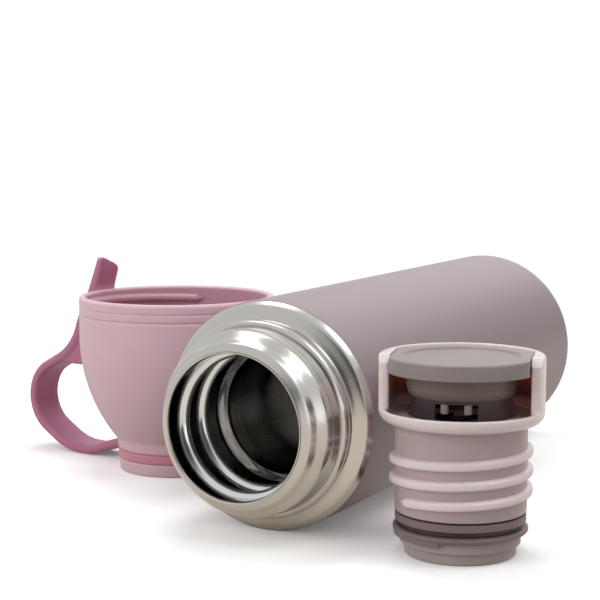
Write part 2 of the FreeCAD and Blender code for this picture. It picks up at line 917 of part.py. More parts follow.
def build_valve_disc():
    top = valve_disc_top()
    foot = top - size.valve_disc_wall
    socket = size.stem_radius + size.stem_clearance
    edge = size.cap_edge
    radius = size.valve_disc_radius
    corners = [
        (zero, foot),
        (radius - edge, foot),
        (radius, foot + edge),
        (radius, top),
        (socket, top),
        (socket, foot + size.valve_disc_floor),
        (zero, foot + size.valve_disc_floor),
    ]
    keep("button", "valve_disc", turned("valve_disc", corners))


def build_valve_seal():
    corners = rectangle(size.valve_seal_inner, size.valve_seal_outer, valve_disc_top(), valve_seal_top())
    keep("button", "valve_seal", turned("valve_seal", corners))


# cup lid


def build_cup_bowl():
    outer = size.bowl_radius
    inner = outer - size.bowl_wall
    height = size.cup_height
    turn_height = size.bowl_turn_height
    foot = size.foot_height + size.strap_wall
    knee_height = size.bowl_foot_height
    inner_foot = size.bowl_foot_radius - size.bowl_wall

    def tangent_radius(wall_radius, knee_radius, knee):
        """Radius of the arc that leaves the upright wall and passes through the knee."""
        across = wall_radius - knee_radius
        drop = turn_height - knee
        return (across * across + drop * drop) / (across * 2)

    def line(drop, depth, width):
        middle = height - drop
        half = width / 2
        return [(outer, middle - half), (outer - depth, middle), (outer, middle + half)]

    corners = [
        (zero, foot),
        (size.bowl_neck_radius, foot),
        (size.bowl_foot_radius, knee_height, tangent_radius(outer, size.bowl_foot_radius, knee_height), 1),
        (outer, turn_height),
    ]
    corners += line(size.rim_groove_drop, size.rim_groove_depth, size.rim_groove_width)
    corners += line(size.rim_line_drop, size.rim_line_depth, size.rim_line_width)
    rim = size.rim_round
    inner_knee = foot + size.bowl_floor
    corners += [
        (outer, height - rim, rim, 1),
        (outer - rim, height),
        (inner + rim, height, rim, 1),
        (inner, height - rim),
        (inner, turn_height, tangent_radius(inner, inner_foot, inner_knee), -1),
        (inner_foot, inner_knee),
        (zero, inner_knee),
    ]
    bowl = turned("bowl_profile", corners)
    ridge = wound_feature(
        "cup_thread", (inner - size.cup_thread_inset).value, size.cup_thread_pitch.value,
        size.cup_thread_turns.value, size.cup_thread_turn.value, (height - size.cup_thread_drop).value,
        size.cup_thread_radius.value)
    keep("cup", "cup_bowl", joined("cup_bowl", bowl, ridge))


def build_cup_foot():
    outer = size.foot_radius
    bottom = outer - size.foot_taper
    bend = size.foot_round
    stem = size.foot_stem_radius
    corners = [
        (zero, zero),
        (bottom - bend, zero, bend, 1),
        (bottom, bend),
        (outer, size.foot_height),
        (stem, size.foot_height),
        (stem, size.foot_height + size.strap_wall),
        (zero, size.foot_height + size.strap_wall),
    ]
    keep("cup", "cup_foot", turned("cup_foot", corners))


def rounded_path(sketch, corners):
    """An open path of straight runs joined by tangent arcs. A corner is (across, along, bend)."""
    points = [FreeCAD.Vector(corner[0].value, corner[1].value, 0) for corner in corners]
    marks = []
    for corner, point in zip(corners, points):
        mark = sketch.addGeometry(Part.Point(point), True)
        pin_point(sketch, mark, 1, corner[0], corner[1])
        marks.append(mark)
    bends = [None]
    for index in range(1, len(points) - 1):
        back = (points[index - 1] - points[index]).normalize()
        ahead = (points[index + 1] - points[index]).normalize()
        half = (math.pi - back.getAngle(ahead)) / 2
        radius = corners[index][2].value
        reach = radius * math.tan(half)
        middle = points[index] + (back + ahead).normalize() * radius * (1 / math.cos(half) - 1)
        turn = back.cross(ahead).z
        bends.append((points[index] + back * reach, middle, points[index] + ahead * reach, turn))
    start = points[0]
    last = None
    for index in range(len(points) - 1):
        finish = bends[index + 1][0] if index + 1 < len(bends) else points[-1]
        run = sketch.addGeometry(Part.LineSegment(start, finish))
        for mark in (marks[index], marks[index + 1]):
            end = {0: 1, len(points) - 1: 2}.get(marks.index(mark))
            if end:
                sketch.addConstraint(Sketcher.Constraint("Coincident", mark, 1, run, end))
            else:
                sketch.addConstraint(Sketcher.Constraint("PointOnObject", mark, 1, run))
        if last:
            sketch.addConstraint(Sketcher.Constraint("Tangent", last[0], last[1], run, 1))
        if index + 1 == len(bends):
            break
        leave, middle, arrive, turn = bends[index + 1]
        if turn < 0:
            arc = sketch.addGeometry(Part.Arc(leave, middle, arrive))
            ends = (1, 2)
        else:
            arc = sketch.addGeometry(Part.Arc(arrive, middle, leave))
            ends = (2, 1)
        sketch.addConstraint(Sketcher.Constraint("Tangent", run, 2, arc, ends[0]))
        number = sketch.addConstraint(Sketcher.Constraint("Radius", arc, corners[index + 1][2].value))
        sketch.setExpression(f"Constraints[{number}]", corners[index + 1][2].text)
        last = (arc, ends[1])
        start = arrive


def build_cup_handle():
    wall = size.strap_wall
    edge = size.strap_edge
    collar_foot = size.foot_height
    middle = collar_foot + wall / 2
    floor = wall / 2 + size.strap_floor_gap
    outer = size.bowl_radius
    start = size.bowl_neck_radius - wall / 2
    corners = [
        (start, middle, zero),
        (size.bowl_neck_radius + size.strap_root_out, middle, size.strap_root_bend),
        (size.bowl_neck_radius + size.strap_sag_near, floor, size.strap_sag_near_bend),
        (size.bowl_neck_radius + size.strap_sag_far, floor, size.strap_sag_far_bend),
        (outer + size.loop_out, size.loop_height, size.loop_bend),
        (outer + size.elbow_out, size.elbow_height, size.elbow_bend),
        (outer - size.tab_in, size.cup_height + size.tab_height + edge, zero),
    ]
    body = new_body("strap")
    path = new_sketch(body, "strap_path", "XZ_Plane")
    rounded_path(path, corners)
    section = new_sketch(body, "strap_section", "YZ_Plane", start)
    half = size.strap_width / 2
    low = collar_foot
    high = collar_foot + wall
    add_outline(section, [
        (half - edge, low, edge, 1), (half, low + edge),
        (half, high - edge, edge, 1), (half - edge, high),
        (edge - half, high, edge, 1), (-half, high - edge),
        (-half, low + edge, edge, 1), (edge - half, low),
    ])
    pipe = body.newObject("PartDesign::AdditivePipe", "strap_sweep")
    pipe.Profile = section
    pipe.Spine = (path, [""])
    pipe.Transition = "Right corner"
    doc.recompute()

    ring = turned("strap_collar", rectangle(
        size.foot_stem_radius + size.fit_gap, size.bowl_neck_radius, low, high))
    # the web fills the strap's inner side, from the loop up to the rim
    web = new_body("strap_web")
    web_outline = new_sketch(web, "web_outline", "XZ_Plane")
    near = outer + size.tab_gap
    add_outline(web_outline, [
        (near, size.web_height),
        (outer + size.web_out, size.web_height),
        (outer + size.elbow_out, size.elbow_height),
        (near + wall / 2, size.cup_height),
        (near, size.cup_height),
    ])
    pad = web.newObject("PartDesign::Pad", "web_pad")
    pad.Profile = web_outline
    pad.Midplane = True
    pad.setExpression("Length", (size.strap_width - edge * 2).text)
    doc.recompute()
    strap = joined("strap_and_collar", body, ring, web)

    # the tab above the rim thins towards its end, which is cut at a slant
    near_top = size.cup_height + size.tab_height
    thinned = cut_with_box(
        "thinned_tab", strap, (outer + size.tab_gap, zero, size.cup_height),
        FreeCAD.Rotation(FreeCAD.Vector(0, 1, 0), -size.tab_taper.value), (-1, -0.5, 0))
    slanted = cut_with_box(
        "slanted_tab", thinned, (outer, half, near_top),
        FreeCAD.Rotation(FreeCAD.Vector(1, 0, 0), size.tab_slant.value), (-0.5, -0.75, 0))
    keep("cup", "cup_handle", slanted)


def cut_with_box(name, base, corner, turn, start):
    """Cuts away a turned box. Start says where its near corner lies from the given corner, in
    box sides along the box's own axes."""
    side = size.strap_width * 2
    box = doc.addObject("Part::Box", name + "_box")
    for length in ("Length", "Width", "Height"):
        box.setExpression(length, side.text)
    offset = FreeCAD.Vector(*start) * side.value
    place = FreeCAD.Vector(*(part.value for part in corner))
    box.Placement = FreeCAD.Placement(place + turn.multVec(offset), turn)
    cut = doc.addObject("Part::Cut", name)
    cut.Base = base
    cut.Tool = box
    doc.recompute()
    return cut


# floor layout: the origin is under the middle of the whole set


def group_places():
    upright = FreeCAD.Vector(0, 0, 1)
    lying = FreeCAD.Rotation(FreeCAD.Vector(1, 0, 0), 90)
    cup_side = -(size.shell_radius + size.cup_gap + size.bowl_radius)
    stopper_side = size.shell_radius + size.stopper_gap + size.collar_radius
    bottle = FreeCAD.Placement(FreeCAD.Vector(0, size.bottle_length.value, size.shell_radius.value), lying)
    cup = FreeCAD.Placement(
        FreeCAD.Vector(cup_side.value, size.cup_along.value, 0),
        FreeCAD.Rotation(upright, size.cup_turn.value))
    stopper = FreeCAD.Placement(
        FreeCAD.Vector(stopper_side.value, size.stopper_along.value, 0),
        FreeCAD.Rotation(upright, size.stopper_turn.value))
    return {"bottle": bottle, "cup": cup, "stopper": stopper, "button": stopper}


def lay_out():
    places = group_places()
    for label, (feature, group) in nodes.items():
        lift = FreeCAD.Placement(lifts.get(label, FreeCAD.Vector()), FreeCAD.Rotation())
        feature.Placement = places[group].multiply(lift)
    doc.recompute()
    boxes = [feature.Shape.optimalBoundingBox(True, False) for feature, group in nodes.values()]
    middle_x = (min(box.XMin for box in boxes) + max(box.XMax for box in boxes)) / 2
    middle_y = (min(box.YMin for box in boxes) + max(box.YMax for box in boxes)) / 2
    shift = FreeCAD.Vector(-middle_x, -middle_y, 0)
    print(f"point under the lip's centre: {-middle_x:.3f}, {-middle_y:.3f}")
    for feature, group in nodes.values():
        place = feature.Placement
        feature.Placement = FreeCAD.Placement(place.Base + shift, place.Rotation)
    doc.recompute()


def check_and_write():
    for feature in doc.Objects:
        if "Invalid" in feature.State or "Error" in feature.State:
            raise ValueError(f"{feature.Label} failed: {feature.State}")
    for label, (feature, group) in nodes.items():
        if feature.Shape.isNull() or not feature.Shape.isValid():
            raise ValueError(f"{label} has no valid shape")
    os.makedirs("parts", exist_ok=True)
    for label, (feature, group) in nodes.items():
        feature.Shape.exportStep(f"parts/{label}.step")
        print(f"{label}: {len(feature.Shape.Solids)} solid, {feature.Shape.Volume:.1f} mm3")


lifts = {}
build_outer_shell()
build_neck_collar()
build_inner_vessel()
build_vessel_bottom()
build_shell_bottom()
build_seal_plug()
build_base_cover()
build_getter_cup()
build_reflective_foil()
build_stopper_body()
build_pour_collar()
build_stem_guide()
build_valve_cap()
build_packing_ring()
build_return_spring()
build_push_button()
build_plunger_sleeve()
build_guide_pins()
build_valve_stem()
build_valve_disc()
build_valve_seal()
build_cup_bowl()
build_cup_foot()
build_cup_handle()
lay_out()
check_and_write()
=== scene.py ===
import math
import bmesh
import bpy
from mathutils import Matrix, Vector


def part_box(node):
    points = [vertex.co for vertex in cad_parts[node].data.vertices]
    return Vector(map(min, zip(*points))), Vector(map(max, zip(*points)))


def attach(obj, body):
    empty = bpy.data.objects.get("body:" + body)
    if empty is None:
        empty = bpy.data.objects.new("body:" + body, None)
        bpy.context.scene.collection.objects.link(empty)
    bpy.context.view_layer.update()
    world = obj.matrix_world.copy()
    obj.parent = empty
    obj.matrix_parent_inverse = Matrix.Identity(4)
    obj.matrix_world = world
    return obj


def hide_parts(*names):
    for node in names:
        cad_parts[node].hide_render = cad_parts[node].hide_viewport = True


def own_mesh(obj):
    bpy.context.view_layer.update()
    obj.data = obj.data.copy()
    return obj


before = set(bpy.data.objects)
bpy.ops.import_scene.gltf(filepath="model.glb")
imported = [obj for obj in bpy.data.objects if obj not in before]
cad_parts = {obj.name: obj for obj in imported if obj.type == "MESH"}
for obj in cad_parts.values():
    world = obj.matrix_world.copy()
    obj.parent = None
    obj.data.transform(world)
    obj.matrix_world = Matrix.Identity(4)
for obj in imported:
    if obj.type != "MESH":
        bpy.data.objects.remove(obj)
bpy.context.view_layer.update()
mm = 0.001
print("frame loaded:", len(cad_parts), "nodes")


# node tools

def toLinear(hexColour):
    parts = [int(hexColour[i:i + 2], 16) / 255 for i in (1, 3, 5)]
    return [p / 12.92 if p <= 0.04045 else ((p + 0.055) / 1.055) ** 2.4 for p in parts] + [1.0]


def setInput(tree, socket, value):
    if isinstance(value, bpy.types.NodeSocket):
        tree.links.new(value, socket)
    else:
        socket.default_value = value


def addNode(tree, kind, inputs=None, **settings):
    node = tree.nodes.new(kind)
    for key, value in settings.items():
        setattr(node, key, value)
    for key, value in (inputs or {}).items():
        setInput(tree, node.inputs[key], value)
    return node


def maths(tree, operation, *values):
    return addNode(tree, "ShaderNodeMath", dict(enumerate(values)), operation=operation).outputs[0]


def measure(tree, operation, *vectors):
    # a length, a distance or a dot product
    return addNode(tree, "ShaderNodeVectorMath", dict(enumerate(vectors)), operation=operation).outputs["Value"]


def fadeIn(tree, value, start, end, low=0.0, high=1.0, smooth=False):
    inputs = {"Value": value, "From Min": start, "From Max": end, "To Min": low, "To Max": high}
    kind = "SMOOTHSTEP" if smooth else "LINEAR"
    return addNode(tree, "ShaderNodeMapRange", inputs, interpolation_type=kind).outputs[0]


def joined(tree, **parts):
    return addNode(tree, "ShaderNodeCombineXYZ", parts).outputs[0]


# where the three groups stand, read from the frame
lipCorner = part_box("inner_vessel")[0]
shellLow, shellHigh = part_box("outer_shell")
bowlLow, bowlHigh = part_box("cup_bowl")
capLow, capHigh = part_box("valve_cap")
groupTurn = {"cup": 170.0, "stopper": 15.0}  # degrees about their own axes
lipCentre = Vector(((shellLow.x + shellHigh.x) / 2, lipCorner.y, (shellLow.z + shellHigh.z) / 2))
cupCentre = Vector(((bowlLow.x + bowlHigh.x) / 2, (bowlLow.y + bowlHigh.y) / 2, 0))
stopperCentre = Vector(((capLow.x + capHigh.x) / 2, (capLow.y + capHigh.y) / 2, 0))
place = {
    "bottle": Matrix.Translation(lipCentre) @ Matrix.Rotation(math.radians(90), 4, "X"),  # lip at 0, inside below it
    "cup": Matrix.Translation(cupCentre) @ Matrix.Rotation(math.radians(groupTurn["cup"]), 4, "Z"),
    "stopper": Matrix.Translation(stopperCentre) @ Matrix.Rotation(math.radians(groupTurn["stopper"]), 4, "Z"),
}
place["button"] = place["stopper"]


# camera, at the photograph's angle
camera = {"lens": 94.85, "fromLip": (221.3, -390.7, 121.6), "tilt": 90 - 6.27, "turn": 27.01}
cameraData = bpy.data.cameras.new("camera")
cameraData.lens = camera["lens"]
cameraObject = bpy.data.objects.new("camera", cameraData)
cameraObject.location = Vector((lipCentre.x, lipCentre.y, 0)) + Vector(camera["fromLip"]) * mm
cameraObject.rotation_euler = (math.radians(camera["tilt"]), 0, math.radians(camera["turn"]))
bpy.context.scene.collection.objects.link(cameraObject)
bpy.context.scene.camera = cameraObject
bpy.context.scene.view_settings.view_transform = "Standard"
print("camera set")


# mesh tools
meshing = {"weld": 0.002, "cadWeld": 0.01, "sharpAngle": 38.0, "softAngle": 60.0}


def roundedLine(corners, runStep, arcStep=12.0):
    # a closed line; corners are (radius, height, rounding) in millimetres, and long runs are cut into short ones
    points = []
    for index, corner in enumerate(corners):
        here = Vector(corner[:2])
        rounding = corner[2] if len(corner) > 2 else 0.0
        if rounding <= 0:
            points.append(here)
            continue
        back = (Vector(corners[index - 1][:2]) - here).normalized()
        ahead = (Vector(corners[(index + 1) % len(corners)][:2]) - here).normalized()
        half = (math.pi - back.angle(ahead)) / 2
        reach = rounding * math.tan(half)
        centre = here + (back + ahead).normalized() * rounding / math.cos(half)
        start = here + back * reach - centre
        sweep = 2 * half * (1 if back.x * ahead.y - back.y * ahead.x < 0 else -1)
        steps = max(2, math.ceil(math.degrees(2 * half) / arcStep))
        for step in range(steps + 1):
            angle = sweep * step / steps
            turned = Vector((start.x * math.cos(angle) - start.y * math.sin(angle),
                             start.x * math.sin(angle) + start.y * math.cos(angle)))
            points.append(centre + turned)
    line = []
    for index, point in enumerate(points):
        following = points[(index + 1) % len(points)]
        cuts = int((following - point).length / runStep)
        line += [point] + [point.lerp(following, cut / (cuts + 1)) for cut in range(1, cuts + 1)]
    return line


def newPiece(name, mesh, material, body, sharpAngle=meshing["sharpAngle"], replaced=()):
    mesh.shade_smooth()
    mesh.set_sharp_from_angle(angle=math.radians(sharpAngle))
    piece = bpy.data.objects.new(name, mesh)
    bpy.context.scene.collection.objects.link(piece)
    mesh.materials.clear()
    mesh.materials.append(material)
    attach(piece, body)
    if replaced:
        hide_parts(*replaced)
    return piece


def cleanMesh(name, built):
    bmesh.ops.remove_doubles(built, verts=built.verts, dist=meshing["weld"] * mm)
    bmesh.ops.dissolve_degenerate(built, edges=built.edges, dist=meshing["weld"] * mm)
    bmesh.ops.recalc_face_normals(built, faces=built.faces)
    mesh = bpy.data.meshes.new(name)
    built.to_mesh(mesh)
    built.free()
    return mesh


def latheMesh(name, corners, where, segments=192, runStep=2.0, shape=None):
    # turns a closed section about the group's own axis
    line = roundedLine(corners, runStep)
    built = bmesh.new()
    rings = []
    for step in range(segments):
        angle = 2 * math.pi * step / segments
        ring = []
        for point in line:
            local = Vector((point.x * math.cos(angle), point.x * math.sin(angle), point.y))
            if shape:
                local = shape(local)
            ring.append(built.verts.new(where @ (local * mm)))
        rings.append(ring)
    for step in range(segments):
        ring, other = rings[step], rings[(step + 1) % segments]
        for index in range(len(line)):
            following = (index + 1) % len(line)
            built.faces.new((ring[index], other[index], other[following], ring[following]))
    return cleanMesh(name, built)


def evaluatedMesh(holder):
    # the mesh that an object's modifiers make; the object itself goes
    graph = bpy.context.evaluated_depsgraph_get()
    mesh = bpy.data.meshes.new_from_object(holder.evaluated_get(graph))
    bpy.data.objects.remove(holder)
    return mesh


def softenedMesh(name, node, soften, shape=None):
    # a copy of a CAD node with every edge softly rounded, as a moulding has
    built = bmesh.new()
    built.from_mesh(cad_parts[node].data)
    bmesh.ops.remove_doubles(built, verts=built.verts, dist=meshing["cadWeld"] * mm)
    mesh = bpy.data.meshes.new(name)
    built.to_mesh(mesh)
    built.free()
    copy = bpy.data.objects.new(name + "Copy", mesh)
    bpy.context.scene.collection.objects.link(copy)
    remesh = copy.modifiers.new("remesh", "REMESH")
    remesh.mode = "VOXEL"
    remesh.voxel_size = soften["voxel"] * mm
    smooth = copy.modifiers.new("smooth", "SMOOTH")
    smooth.iterations = soften["smoothing"]
    result = evaluatedMesh(copy)
    if shape:
        for vertex in result.vertices:
            vertex.co = shape(vertex.co)
    result.name = name
    return result


# one Geometry Nodes tree winds every ridge, bead and spring
def woundRidgeTree():
    fineness = {"path": 400, "section": 28, "endShare": 0.25, "feet": -0.001}
    tree = bpy.data.node_groups.new("woundRidge", "GeometryNodeTree")
    kinds = {"radius": "Float", "pitch": "Float", "turns": "Float", "angle": "Float", "height": "Float",
             "halfWidth": "Float", "rise": "Float", "sink": "Float", "runOut": "Float", "squareness": "Float",
             "wire": "Bool", "finish": "Material"}
    sockets = {}
    for name, kind in kinds.items():
        socket = tree.interface.new_socket(name, in_out="INPUT", socket_type="NodeSocket" + kind)
        sockets[name] = socket.identifier
    tree.interface.new_socket("Geometry", in_out="OUTPUT", socket_type="NodeSocketGeometry")
    given = addNode(tree, "NodeGroupInput").outputs

    # the helix, point by point along a straight line of parameters
    steps = addNode(tree, "GeometryNodeMeshLine", {
        "Count": fineness["path"], "Start Location": (0, 0, 0), "Offset": (1 / (fineness["path"] - 1), 0, 0)})
    path = addNode(tree, "GeometryNodeMeshToCurve", {"Mesh": steps.outputs[0]})
    share = addNode(tree, "GeometryNodeSplineParameter").outputs["Factor"]
    turned = maths(tree, "MULTIPLY", share, given["turns"])
    angle = maths(tree, "ADD", given["angle"], maths(tree, "MULTIPLY", turned, 2 * math.pi))
    point = joined(tree,
                   X=maths(tree, "MULTIPLY", given["radius"], maths(tree, "COSINE", angle)),
                   Y=maths(tree, "MULTIPLY", given["radius"], maths(tree, "SINE", angle)),
                   Z=maths(tree, "ADD", given["height"], maths(tree, "MULTIPLY", turned, given["pitch"])))
    wound = addNode(tree, "GeometryNodeSetPosition", {"Geometry": path.outputs[0], "Position": point})
    upright = addNode(tree, "GeometryNodeSetCurveNormal", {"Curve": wound.outputs[0]}, mode="Z_UP")
    toEnd = maths(tree, "MINIMUM", share, maths(tree, "SUBTRACT", 1.0, share))
    fade = fadeIn(tree, toEnd, 0.0, given["runOut"], low=fineness["endShare"], smooth=True)

    # a bell-shaped section whose feet run under the wall, or a round wire
    ring = addNode(tree, "GeometryNodeCurvePrimitiveCircle", {"Resolution": fineness["section"], "Radius": 1.0})
    position = addNode(tree, "GeometryNodeInputPosition").outputs[0]
    spot = addNode(tree, "ShaderNodeSeparateXYZ", {"Vector": position}).outputs
    power = maths(tree, "POWER", maths(tree, "ABSOLUTE", spot["X"]), given["squareness"])
    squared = maths(tree, "MAXIMUM", maths(tree, "SUBTRACT", 1.0, power), 0.0)
    above = maths(tree, "GREATER_THAN", spot["Y"], fineness["feet"])
    crown = maths(tree, "MULTIPLY", above, maths(tree, "MULTIPLY", squared, given["rise"]))
    below = maths(tree, "MULTIPLY", maths(tree, "SUBTRACT", 1.0, above), given["sink"])
    bell = joined(tree, X=maths(tree, "SUBTRACT", crown, below),
                  Y=maths(tree, "MULTIPLY", spot["X"], given["halfWidth"]))
    wire = addNode(tree, "ShaderNodeVectorMath", {0: position}, operation="SCALE")
    tree.links.new(given["halfWidth"], wire.inputs["Scale"])
    chosen = addNode(tree, "GeometryNodeSwitch", {
        "Switch": given["wire"], "False": bell, "True": wire.outputs[0]}, input_type="VECTOR")
    section = addNode(tree, "GeometryNodeSetPosition", {"Geometry": ring.outputs[0], "Position": chosen.outputs[0]})
    swept = addNode(tree, "GeometryNodeCurveToMesh", {
        "Curve": upright.outputs[0], "Profile Curve": section.outputs[0], "Scale": fade, "Fill Caps": True})
    dressed = addNode(tree, "GeometryNodeSetMaterial", {"Geometry": swept.outputs[0], "Material": given["finish"]})
    addNode(tree, "NodeGroupOutput", {"Geometry": dressed.outputs[0]})
    return tree, sockets


ridgeTree, ridgeSockets = woundRidgeTree()


def woundMesh(name, ridge, material, where):
    holder = bpy.data.objects.new(name + "Holder", bpy.data.meshes.new(name + "Holder"))
    bpy.context.scene.collection.objects.link(holder)
    modifier = holder.modifiers.new("wound", "NODES")
    modifier.node_group = ridgeTree
    for label, value in ridge.items():
        modifier[ridgeSockets[label]] = value
    modifier[ridgeSockets["finish"]] = material
    mesh = evaluatedMesh(holder)
    mesh.transform(Matrix.Scale(mm, 4))
    mesh.transform(where)
    built = bmesh.new()
    built.from_mesh(mesh)
    return cleanMesh(name, built)


# materials

def newMaterial(name):
    material = bpy.data.materials.new(name)
    material.use_nodes = True
    tree = material.node_tree
    tree.nodes.clear()
    shader = addNode(tree, "ShaderNodeBsdfPrincipled")
    addNode(tree, "ShaderNodeOutputMaterial", {"Surface": shader.outputs[0]})
    return material, tree, shader


def setShader(tree, shader, inputs):
    for key, value in inputs.items():
        setInput(tree, shader.inputs[key], value)


def objectPoint(tree, centre=(0, 0, 0), turn=0.0):
    # the point seen from a piece's own centre, unturned
    coords = addNode(tree, "ShaderNodeTexCoord").outputs["Object"]
    inputs = {"Vector": coords, "Location": centre, "Rotation": (0, 0, math.radians(turn))}
    return addNode(tree, "ShaderNodeMapping", inputs, vector_type="TEXTURE").outputs[0]


def aboutAxis(tree, centre, turn=0.0):
    # a point's parts from a group's upright axis, and its distance from that axis
    spot = addNode(tree, "ShaderNodeSeparateXYZ", {"Vector": objectPoint(tree, centre, turn)}).outputs
    return spot, measure(tree, "LENGTH", joined(tree, X=spot["X"], Y=spot["Y"]))


def noise(tree, vector, grain, detail):
    # soft noise with grains so many millimetres wide
    inputs = {"Vector": vector, "Scale": 1 / (grain * mm), "Detail": detail}
    return addNode(tree, "ShaderNodeTexNoise", inputs).outputs["Fac"]


def bump(tree, height, strength, depth):
    inputs = {"Height": height, "Strength": strength, "Distance": depth * mm}
    return addNode(tree, "ShaderNodeBump", inputs).outputs[0]


def colourMix(tree, factor, first, second):
    mix = addNode(tree, "ShaderNodeMix", {"Factor": factor}, data_type="RGBA")
    for socket, colour in ((mix.inputs[6], first), (mix.inputs[7], second)):
        setInput(tree, socket, toLinear(colour) if isinstance(colour, str) else colour)
    return mix.outputs[2]


def maskWithin(tree, limits):
    # each limit is a value and the two marks, in millimetres, that the mask fades in between
    mask = 1.0
    for value, start, end in limits:
        mask = maths(tree, "MULTIPLY", mask, fadeIn(tree, value, start * mm, end * mm))
    return mask


# satin lacquer over steel: even colour, a soft broad highlight, a trace of pearl grain
def satinLacquer():
    look = {"colour": "#aa999d", "grainColour": "#9c8c90", "grain": 0.35, "grainEdges": (0.35, 0.75), "peel": 2.5,
            "peelStrength": 0.05, "peelDepth": 0.05, "metallic": 0.14, "specular": 0.3, "roughness": 0.36}
    material, tree, shader = newMaterial("satinLacquer")
    point = objectPoint(tree)
    tone = fadeIn(tree, noise(tree, point, look["grain"], 2.0), *look["grainEdges"])
    setShader(tree, shader, {
        "Base Color": colourMix(tree, tone, look["colour"], look["grainColour"]),
        "Normal": bump(tree, noise(tree, point, look["peel"], 1.0), look["peelStrength"], look["peelDepth"]),
        "Metallic": look["metallic"], "Specular IOR Level": look["specular"], "Roughness": look["roughness"]})
    return material


# stainless steel turned on a lathe: bright, with fine rings about the axis and faint smudges
def turnedSteel(name, colour, roughness, ringWidth, ringDepth):
    look = {"ringStrength": 0.25, "smudge": 14.0, "smudgeEdges": (0.3, 0.7), "smudgeLow": 0.85, "smudgeHigh": 1.2,
            "drawn": 0.35}
    material, tree, shader = newMaterial(name)
    spot = addNode(tree, "ShaderNodeSeparateXYZ", {"Vector": objectPoint(tree, lipCentre)}).outputs
    radius = measure(tree, "LENGTH", joined(tree, X=spot["X"], Y=spot["Z"]))
    marks = noise(tree, joined(tree, X=spot["Y"], Y=radius), ringWidth, 3.0)
    smudge = noise(tree, objectPoint(tree), look["smudge"], 2.0)
    around = addNode(tree, "ShaderNodeTangent", direction_type="RADIAL", axis="Y")
    setShader(tree, shader, {
        "Base Color": toLinear(colour), "Metallic": 1.0, "Anisotropic": look["drawn"], "Tangent": around.outputs[0],
        "Roughness": fadeIn(tree, smudge, *look["smudgeEdges"], roughness * look["smudgeLow"],
                            roughness * look["smudgeHigh"]),
        "Normal": bump(tree, marks, look["ringStrength"], ringDepth)})
    return material


def paintedGlowAndShade(tree, base, inner):
    # painted light and shade on the inside of the pour collar: a painted warm glow higher up where light comes through
    # the plastic, painted brown shade lower down
    spot, radius = aboutAxis(tree, stopperCentre, groupTurn["stopper"])
    mask = maskWithin(tree, ((radius, *inner["radius"]), (spot["Z"], *inner["low"]), (spot["Z"], *inner["high"]),
                             (spot["Y"], *inner["front"])))
    bright = maskWithin(tree, ((spot["Z"], *inner["bright"]),))
    return colourMix(tree, mask, base, colourMix(tree, bright, inner["shade"], inner["colour"]))


def paintedShadeOrLightBand(tree, base, band, soft=0.3):
    # a part of the moulding painted another tone within a radius and between two heights: painted shade on the button's
    # boss, in the packing ring's groove and inside the cup, painted light on the handle's ring
    spot, reach = aboutAxis(tree, band["centre"])
    if "side" in band:
        # measured from the bowl's curved outer side instead of from its axis
        outside, bend, turnHeight = band["side"]
        drop = maths(tree, "MAXIMUM", maths(tree, "SUBTRACT", turnHeight * mm, spot["Z"]), 0.0)
        square = maths(tree, "SUBTRACT", (bend * mm) ** 2, maths(tree, "POWER", drop, 2.0))
        side = maths(tree, "ADD", maths(tree, "SQRT", square), (outside - bend) * mm)
        reach = maths(tree, "SUBTRACT", reach, side)
    mask = maskWithin(tree, ((reach, band["radius"] + soft, band["radius"] - soft),
                             (spot["Z"], band["high"] + soft, band["high"] - soft),
                             (spot["Z"], band["low"] - soft, band["low"] + soft)))
    return colourMix(tree, mask, base, band["colour"])


# moulded polypropylene or silicone: even colour with a little depth, a faint mould grain
def mouldedPlastic(name, colour, shadeColour, roughness, depth=0.0, gloss=0.0, glow=None, inner=None, band=None):
    look = {"cloud": 9.0, "cloudEdges": (0.3, 0.7), "cloudShare": 0.35, "grain": 0.5, "grainStrength": 0.12,
            "grainDepth": 0.04, "ior": 1.49, "glossRoughness": 0.08, "through": 0.35, "throughSpread": (1.0, 0.45, 0.4)}
    material, tree, shader = newMaterial(name)
    point = objectPoint(tree)
    tone = fadeIn(tree, noise(tree, point, look["cloud"], 3.0), *look["cloudEdges"], high=look["cloudShare"])
    base = colourMix(tree, tone, colour, shadeColour)
    # painted glow and painted shade inside the pour collar
    if inner:
        base = paintedGlowAndShade(tree, base, inner)
    # a band of painted shade, or on the handle's ring of painted light
    if band:
        base = paintedShadeOrLightBand(tree, base, band)
    setShader(tree, shader, {
        "Base Color": base, "Roughness": roughness, "IOR": look["ior"], "Coat Weight": gloss,
        "Coat Roughness": look["glossRoughness"],
        "Normal": bump(tree, noise(tree, point, look["grain"], 2.0), look["grainStrength"], look["grainDepth"])})
    if glow:
        # painted glow: a faint emission stands for the little light that comes through the walls around it
        setShader(tree, shader, {"Emission Color": toLinear(glow), "Emission Strength": 1.0})
    if depth:
        setShader(tree, shader, {"Subsurface Weight": look["through"], "Subsurface Radius": look["throughSpread"],
                                 "Subsurface Scale": depth * mm})
    return material


shellPaint = satinLacquer()
neckSteel = turnedSteel("turnedSteel", "#d0cdc9", 0.2, 0.5, 0.02)
linerSteel = turnedSteel("polishedSteel", "#cfcecd", 0.11, 0.8, 0.015)
beadSteel = turnedSteel("rolledSteel", "#e4e5e7", 0.12, 0.8, 0.015)
plainSteel = turnedSteel("pressedSteel", "#bdb9b3", 0.3, 0.9, 0.03)
springSteel = turnedSteel("springSteel", "#55504c", 0.4, 0.9, 0.03)
palePink = mouldedPlastic("palePinkPlastic", "#bfacad", "#b7a2a4", 0.3, depth=1.6)
